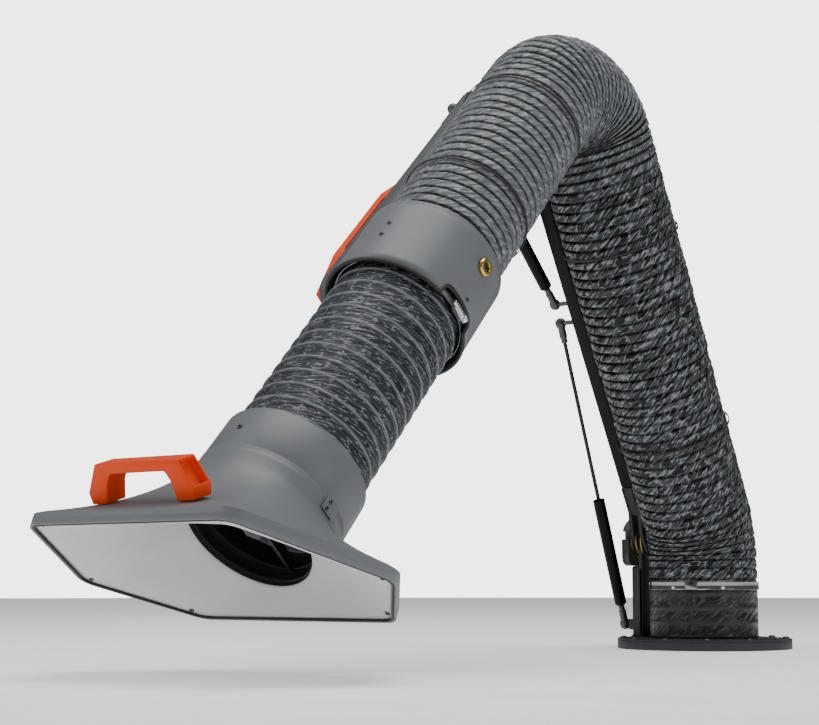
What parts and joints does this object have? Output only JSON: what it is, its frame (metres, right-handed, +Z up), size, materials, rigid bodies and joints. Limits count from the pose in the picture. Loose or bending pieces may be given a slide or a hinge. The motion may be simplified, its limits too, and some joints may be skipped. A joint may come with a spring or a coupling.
{
  "type": "fume extraction arm",
  "caption": "Swivelling fume extraction arm: flanged base, hinged outer frame with gas springs beside a ribbed hose, tilting sleeve joint and a six-sided suction hood with handles.",
  "frame": {"origin": "centre of the mounting flange's underside, on the swivel axis", "axes": "+Z up along the swivel axis; the arm reaches along -Y; the hinges turn about X and the support frame is on the -X side"},
  "size_m": [0.4288, 1.3061, 0.8423],
  "materials": {
    "anthracite": "satin powder coat",
    "grey_coat": "satin powder coat",
    "hose_fabric": "coated fabric on a wire spiral",
    "black_plastic": "matt",
    "black_rubber": "matt",
    "orange_plastic": "satin",
    "clamp_steel": "bright",
    "zinc_yellow": "yellow zinc plate",
    "washer_brass": "satin",
    "liner_grey": "satin",
    "spring_black": "gloss black",
    "rod_dark": "dark nitrided",
    "bearing_plastic": "smooth",
    "pin_steel": "bright"
  },
  "bodies": {
    "base": {"base_flange": "anthracite", "retaining_ring": "anthracite", "slide_bearing": "bearing_plastic"},
    "turret": {"turntable": "anthracite", "pillar": "anthracite", "hinge_drum": "anthracite", "friction_washer_outer": "washer_brass", "friction_washer_middle": "washer_brass", "friction_washer_inner": "washer_brass", "base_pivot_pin": "pin_steel", "base_spring_bracket": "anthracite", "base_band_clamp": "clamp_steel", "hose_stub": "hose_fabric", "hose_base_bend": "hose_fabric"},
    "lower_arm": {"lower_foot": "anthracite", "lower_tube": "anthracite", "lower_eye": "anthracite", "lower_spring_stud": "pin_steel", "upper_spring_stud": "pin_steel", "lower_strap_first": "black_rubber", "lower_strap_second": "black_rubber", "hose_lower": "hose_fabric", "hose_elbow": "hose_fabric"},
    "upper_arm": {"upper_channel": "grey_coat", "elbow_gusset": "grey_coat", "elbow_washer_outer": "washer_brass", "elbow_spacer": "anthracite", "elbow_washer_inner": "washer_brass", "elbow_pivot_pin": "pin_steel", "channel_spring_stud": "pin_steel", "arm_handle": "orange_plastic", "hose_upper": "hose_fabric", "upper_strap_first": "black_rubber", "upper_strap_second": "black_rubber", "sleeve": "grey_coat", "sleeve_edge_trim": "black_rubber", "joint_pipe": "anthracite", "worm_clamp": "clamp_steel", "pivot_bolt_right": "zinc_yellow", "pivot_bolt_left": "zinc_yellow"},
    "head": {"yoke": "anthracite", "stay_tube": "pin_steel", "stay_nut": "pin_steel", "hose_head": "hose_fabric"},
    "hood": {"hood_collar": "grey_coat", "hood_neck": "black_plastic", "hood_spider": "black_plastic", "hood_shell": "grey_coat", "hood_edge_seal": "black_rubber", "hood_liner": "liner_grey", "neck_cover_plate": "grey_coat", "hood_handle": "orange_plastic"},
    "lower_spring_body": {"lower_spring_socket": "rod_dark", "lower_spring_cylinder": "spring_black"},
    "lower_spring_piston": {"lower_spring_rod": "rod_dark", "lower_spring_rod_socket": "rod_dark"},
    "upper_spring_body": {"upper_spring_socket": "rod_dark", "upper_spring_cylinder": "spring_black"},
    "upper_spring_piston": {"upper_spring_rod": "rod_dark", "upper_spring_rod_socket": "rod_dark"}
  },
  "joints": [
    {"name": "base_swivel", "type": "hinge", "parent": "base", "child": "turret", "pos_m": [0, 0, 0.016], "axis": [0, 0, 1], "continuous": true},
    {"name": "base_hinge", "type": "hinge", "parent": "turret", "child": "lower_arm", "pos_m": [0, 0, 0.16], "axis": [1, 0, 0], "range_deg": [-15, 35], "deforming": ["hose_base_bend"]},
    {"name": "elbow_hinge", "type": "hinge", "parent": "lower_arm", "child": "upper_arm", "pos_m": [0, -0.3447, 0.76925], "axis": [1, 0, 0], "range_deg": [-30, 20], "deforming": ["hose_elbow"]},
    {"name": "head_tilt", "type": "hinge", "parent": "upper_arm", "child": "head", "pos_m": [0, -0.6947, 0.4635], "axis": [1, 0, 0], "range_deg": [-30, 30], "deforming": ["hose_head"]},
    {"name": "hood_swivel", "type": "hinge", "parent": "head", "child": "hood", "pos_m": [0, -0.6947, 0.4635], "axis": [0, -0.6896, -0.7242], "range_deg": [-90, 90]},
    {"name": "lower_spring_foot", "type": "hinge", "parent": "turret", "child": "lower_spring_body", "pos_m": [-0.1315, -0.006, 0.034], "axis": [1, 0, 0], "range_deg": [-15, 30]},
    {"name": "lower_spring_top", "type": "hinge", "parent": "lower_arm", "child": "lower_spring_piston", "pos_m": [-0.1315, -0.18023, 0.47855], "axis": [1, 0, 0], "range_deg": [-10, 6]},
    {"name": "upper_spring_foot", "type": "hinge", "parent": "lower_arm", "child": "upper_spring_body", "pos_m": [-0.1315, -0.195, 0.50466], "axis": [1, 0, 0], "range_deg": [-8, 6]},
    {"name": "upper_spring_top", "type": "hinge", "parent": "upper_arm", "child": "upper_spring_piston", "pos_m": [-0.1315, -0.45006, 0.74591], "axis": [1, 0, 0], "range_deg": [-20, 28]}
  ],
  "couplings": [
    {"joint": "lower_spring_foot", "follows": "base_hinge", "ratio": 0.7737},
    {"joint": "lower_spring_top", "follows": "base_hinge", "ratio": -0.2263},
    {"joint": "upper_spring_foot", "follows": "elbow_hinge", "ratio": 0.183},
    {"joint": "upper_spring_top", "follows": "elbow_hinge", "ratio": -0.817}
  ]
}
